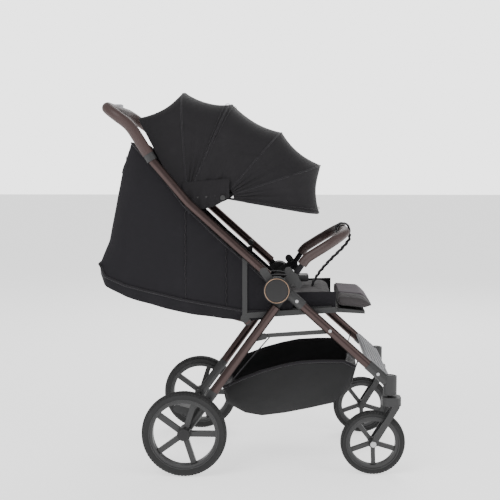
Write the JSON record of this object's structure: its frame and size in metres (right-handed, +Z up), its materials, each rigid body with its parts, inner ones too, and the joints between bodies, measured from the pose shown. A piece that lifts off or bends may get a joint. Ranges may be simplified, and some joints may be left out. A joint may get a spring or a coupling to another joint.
{
  "type": "baby stroller",
  "caption": "Folding baby stroller with swivelling front casters, a leatherette push bar, reclined seat tub, folding canopy, bumper bar and shopping basket.",
  "frame": {"origin": "middle of the bounding box at floor level", "axes": "+X forward, +Y the stroller's left, +Z up"},
  "size_m": [0.869, 0.57, 1.0723],
  "materials": {
    "tube_brown": "satin anodised brown",
    "black_plastic": "matt moulded black",
    "rim_plastic": "matt moulded black",
    "tyre_foam": "matt foam tyre",
    "steel": "plated steel",
    "handle_leather": "brown leatherette",
    "bumper_leather": "brown leatherette",
    "canopy_cloth": "black woven polyester",
    "side_cloth": "black woven polyester",
    "seat_cloth": "charcoal quilted polyester",
    "basket_cloth": "black ripstop polyester",
    "footrest_grey": "light grey ribbed",
    "button_silver": "silver gloss",
    "hub_black": "satin black with a bronze ring"
  },
  "bodies": {
    "front_frame": {"front_leg_right": "tube_brown", "front_leg_left": "tube_brown", "caster_housing_right": "black_plastic", "caster_housing_left": "black_plastic", "hub_right": "black_plastic", "hub_left": "black_plastic", "hub_covers": "hub_black", "frame_screws": "steel", "front_crossbar": "tube_brown", "footrest": "footrest_grey", "basket": "basket_cloth"},
    "rear_frame": {"rear_leg_right": "tube_brown", "rear_leg_left": "tube_brown", "rear_shoe_right": "black_plastic", "rear_shoe_left": "black_plastic", "rear_pivots": "black_plastic", "rear_axle": "steel", "link_brackets": "black_plastic"},
    "links": {"link_bars": "black_plastic"},
    "brake": {"brake_pedal": "black_plastic"},
    "rear_wheel_right": {"rear_tyre_right": "tyre_foam", "rear_rim_right": "rim_plastic", "rear_cap_right": "rim_plastic"},
    "rear_wheel_left": {"rear_tyre_left": "tyre_foam", "rear_rim_left": "rim_plastic", "rear_cap_left": "rim_plastic"},
    "fork_right": {"caster_fork_right": "black_plastic"},
    "fork_left": {"caster_fork_left": "black_plastic"},
    "front_wheel_right": {"front_tyre_right": "tyre_foam", "front_rim_right": "rim_plastic"},
    "front_wheel_left": {"front_tyre_left": "tyre_foam", "front_rim_left": "rim_plastic"},
    "handle_frame": {"handle_tube_right": "tube_brown", "handle_tube_left": "tube_brown", "handle_lugs": "black_plastic", "handle_collars": "black_plastic", "handle_bar": "handle_leather", "seat_frame": "black_plastic", "seat_pan": "black_plastic", "seat_pad": "seat_cloth", "bumper_sockets": "black_plastic", "canopy_clips": "black_plastic", "canopy_bow_rear": "black_plastic", "tub": "side_cloth"},
    "fold_button": {"fold_button": "button_silver"},
    "bumper_bar": {"bumper_cover": "bumper_leather", "bumper_sleeves": "side_cloth"},
    "canopy_main": {"canopy_arms": "black_plastic", "canopy_bow_main": "black_plastic", "canopy_panel_main": "canopy_cloth"},
    "canopy_front": {"canopy_bow_front": "black_plastic", "canopy_panel_front": "canopy_cloth"},
    "canopy_visor": {"canopy_bow_visor": "black_plastic", "canopy_panel_visor": "canopy_cloth"},
    "canopy_edge": {"canopy_bow_edge": "black_plastic", "canopy_panel_edge": "canopy_cloth"},
    "backrest": {"backrest_frame": "tube_brown", "backrest_pad": "seat_cloth"},
    "leg_rest": {"leg_rest_board": "black_plastic", "leg_rest_pad": "seat_cloth"}
  },
  "joints": [
    {"name": "frame_fold", "type": "hinge", "parent": "front_frame", "child": "handle_frame", "pos_m": [0.0737, 0, 0.522], "axis": [0, 1, 0], "range_deg": [0, 80]},
    {"name": "rear_leg_fold", "type": "hinge", "parent": "front_frame", "child": "rear_frame", "pos_m": [0.0957, 0, 0.508], "axis": [0, -1, 0], "range_deg": [0, 32], "deforming": ["basket"]},
    {"name": "link_fold", "type": "hinge", "parent": "rear_frame", "child": "links", "pos_m": [0.0377, 0, 0.387], "axis": [0, 1, 0], "range_deg": [0, 40]},
    {"name": "recline", "type": "hinge", "parent": "handle_frame", "child": "backrest", "pos_m": [-0.0103, 0, 0.427], "axis": [0, 1, 0], "range_deg": [0, 45], "deforming": ["tub"]},
    {"name": "leg_rest_tilt", "type": "hinge", "parent": "handle_frame", "child": "leg_rest", "pos_m": [0.2377, 0, 0.458], "axis": [0, 1, 0], "range_deg": [0, 60]},
    {"name": "bumper_bar_tilt", "type": "hinge", "parent": "handle_frame", "child": "bumper_bar", "pos_m": [0.1197, 0, 0.552], "axis": [0, 1, 0], "range_deg": [0, 30]},
    {"name": "canopy_main_fold", "type": "hinge", "parent": "handle_frame", "child": "canopy_main", "pos_m": [-0.1793, 0, 0.77], "axis": [0, -1, 0], "range_deg": [0, 17], "deforming": ["canopy_panel_main"]},
    {"name": "canopy_front_fold", "type": "hinge", "parent": "canopy_main", "child": "canopy_front", "pos_m": [-0.0783, 0, 0.777], "axis": [0, -1, 0], "range_deg": [0, 13], "deforming": ["canopy_panel_front"]},
    {"name": "canopy_visor_fold", "type": "hinge", "parent": "canopy_front", "child": "canopy_visor", "pos_m": [-0.0783, 0, 0.777], "axis": [0, -1, 0], "range_deg": [0, 21], "deforming": ["canopy_panel_visor"]},
    {"name": "canopy_edge_fold", "type": "hinge", "parent": "canopy_visor", "child": "canopy_edge", "pos_m": [-0.0783, 0, 0.777], "axis": [0, -1, 0], "range_deg": [0, 18], "deforming": ["canopy_panel_edge"]},
    {"name": "fold_button_press", "type": "slide", "parent": "handle_frame", "child": "fold_button", "axis": [0, 0, -1], "range_m": [0, 0.004], "stiffness_N_per_m": 400},
    {"name": "brake_press", "type": "hinge", "parent": "rear_frame", "child": "brake", "pos_m": [-0.1843, 0, 0.12], "axis": [0, -1, 0], "range_deg": [0, 20]},
    {"name": "rear_right_spin", "type": "hinge", "parent": "rear_frame", "child": "rear_wheel_right", "pos_m": [-0.1843, -0.265, 0.12], "axis": [0, 1, 0], "continuous": true},
    {"name": "caster_right_swivel", "type": "hinge", "parent": "front_frame", "child": "fork_right", "pos_m": [0.3907, -0.228, 0.24], "axis": [0, 0, 1], "continuous": true},
    {"name": "front_right_spin", "type": "hinge", "parent": "fork_right", "child": "front_wheel_right", "pos_m": [0.3437, -0.228, 0.091], "axis": [0, 1, 0], "continuous": true},
    {"name": "rear_left_spin", "type": "hinge", "parent": "rear_frame", "child": "rear_wheel_left", "pos_m": [-0.1843, 0.265, 0.12], "axis": [0, 1, 0], "continuous": true},
    {"name": "caster_left_swivel", "type": "hinge", "parent": "front_frame", "child": "fork_left", "pos_m": [0.3907, 0.228, 0.24], "axis": [0, 0, 1], "continuous": true},
    {"name": "front_left_spin", "type": "hinge", "parent": "fork_left", "child": "front_wheel_left", "pos_m": [0.3437, 0.228, 0.091], "axis": [0, 1, 0], "continuous": true}
  ],
  "couplings": [
    {"joint": "rear_leg_fold", "follows": "frame_fold", "ratio": 0.4},
    {"joint": "link_fold", "follows": "frame_fold", "ratio": 0.5},
    {"joint": "canopy_front_fold", "follows": "canopy_main_fold", "ratio": 0.72122},
    {"joint": "canopy_visor_fold", "follows": "canopy_main_fold", "ratio": 1.1379},
    {"joint": "canopy_edge_fold", "follows": "canopy_main_fold", "ratio": 0.98789}
  ]
}
